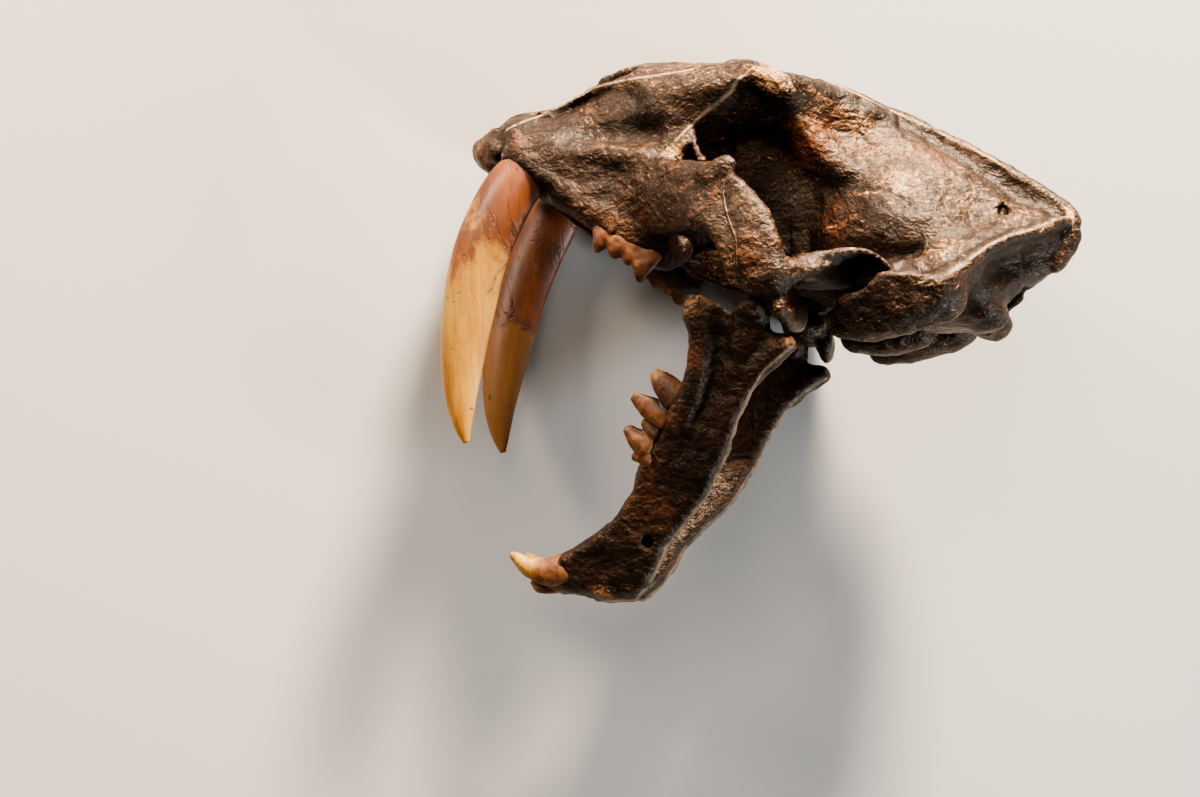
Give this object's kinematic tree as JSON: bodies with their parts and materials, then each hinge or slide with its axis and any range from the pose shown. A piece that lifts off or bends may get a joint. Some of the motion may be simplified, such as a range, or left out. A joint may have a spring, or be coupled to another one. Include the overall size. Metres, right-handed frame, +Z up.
{
  "type": "fossil sabre-toothed cat skull",
  "caption": "Fossil skull of a sabre-toothed cat with long upper canines, its lower jaw wide open, lying on its right side as a free-standing display piece.",
  "frame": {"origin": "under the middle of the object's bounding box, on the surface that it rests on", "axes": "+Z up from the surface; -X towards the nose; +Y towards the crown of the head; the animal's left side is up"},
  "size_m": [0.3234, 0.276, 0.1816],
  "materials": {
    "bone": null,
    "canine_enamel": null,
    "cheek_tooth_enamel": null
  },
  "bodies": {
    "root": {"cranium": "bone", "left_dentary": "bone", "right_dentary": "bone", "left_sabre_canine": "canine_enamel", "right_sabre_canine": "canine_enamel", "left_upper_premolar": "cheek_tooth_enamel", "right_upper_premolar": "cheek_tooth_enamel", "left_upper_carnassial": "cheek_tooth_enamel", "right_upper_carnassial": "cheek_tooth_enamel", "left_lower_canine": "canine_enamel", "right_lower_canine": "canine_enamel", "left_lower_premolar": "cheek_tooth_enamel", "right_lower_premolar": "cheek_tooth_enamel", "left_lower_carnassial": "cheek_tooth_enamel", "right_lower_carnassial": "cheek_tooth_enamel", "left_lower_incisor_1": "cheek_tooth_enamel", "right_lower_incisor_1": "cheek_tooth_enamel", "left_lower_incisor_2": "cheek_tooth_enamel", "right_lower_incisor_2": "cheek_tooth_enamel", "left_lower_incisor_3": "cheek_tooth_enamel", "right_lower_incisor_3": "cheek_tooth_enamel"}
  },
  "joints": []
}
